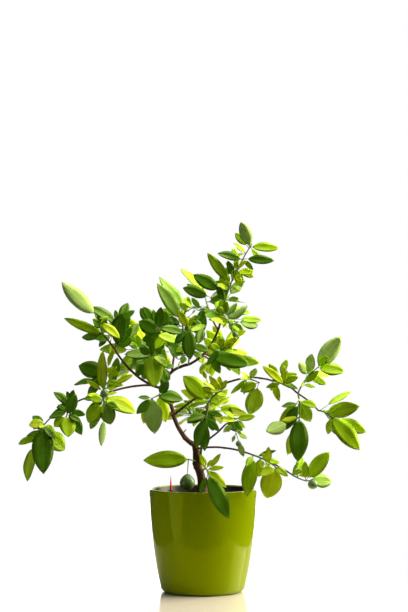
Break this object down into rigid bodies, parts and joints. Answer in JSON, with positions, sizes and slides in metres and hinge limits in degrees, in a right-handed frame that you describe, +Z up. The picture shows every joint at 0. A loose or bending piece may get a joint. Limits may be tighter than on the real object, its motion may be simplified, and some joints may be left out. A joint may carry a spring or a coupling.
{
  "type": "potted tangerine tree",
  "caption": "Young tangerine tree with an open, leafy crown and green fruit, standing in a round olive-green self-watering pot.",
  "frame": {"origin": "centre of the pot's flat underside, on the surface it stands on", "axes": "+Z up along the pot's axis, +X to the right and +Y away from the viewer as the picture shows the plant"},
  "size_m": [0.6785, 0.3954, 0.7474],
  "materials": {
    "olive_glaze": "high-gloss olive-lime moulded plastic, seamless",
    "dark_liner": "dark aubergine moulded plastic, satin",
    "soil": "moist dark potting soil with fine crumbs and bark chips",
    "red_pin": "red moulded plastic cone, satin",
    "bark": "thin brown-red young bark with fine lengthwise cracks",
    "green_bark": "smooth green young bark with pale streaks",
    "foliage": "glossy citrus leaves from dark green to young yellow-green, paler underneath"
  },
  "bodies": {
    "root": {"pot": "olive_glaze", "liner": "dark_liner", "soil": "soil", "indicator_tube": "dark_liner", "indicator_pin": "red_pin", "trunk": "bark", "main_bough": "bark", "elbow": "bark", "upper_bough": "bark", "leader": "bark", "leader_spur": "bark", "upright": "bark", "left_bough": "bark", "left_shoot": "bark", "left_droop": "bark", "left_outer": "bark", "right_arch": "bark", "right_arch_middle": "bark", "right_arch_outer": "bark", "right_end": "bark", "green_stem": "green_bark", "right_inner": "bark", "whip": "bark", "whip_outer": "bark", "front_bough": "bark", "back_left": "bark", "back_right": "bark", "back_low": "bark", "back_top": "bark", "crown_top": "foliage", "upper_right": "foliage", "spur_leaves": "foliage", "upper_left": "foliage", "front_upper": "foliage", "left_tip": "foliage", "left_upper": "foliage", "inner_left": "foliage", "left_centre": "foliage", "left_hub": "foliage", "left_outer_leaves": "foliage", "left_end": "foliage", "bright_front": "foliage", "centre_left": "foliage", "centre_lime": "foliage", "centre_low": "foliage", "right_inner_leaves": "foliage", "arch_inner": "foliage", "arch_middle": "foliage", "right_top": "foliage", "right_end_leaves": "foliage", "right_hanging": "foliage", "low_right": "foliage", "low_right_end": "foliage", "low_front": "foliage", "low_left": "foliage", "back_left_leaves": "foliage", "back_right_leaves": "foliage", "back_low_leaves": "foliage", "back_top_leaves": "foliage"}
  },
  "joints": []
}
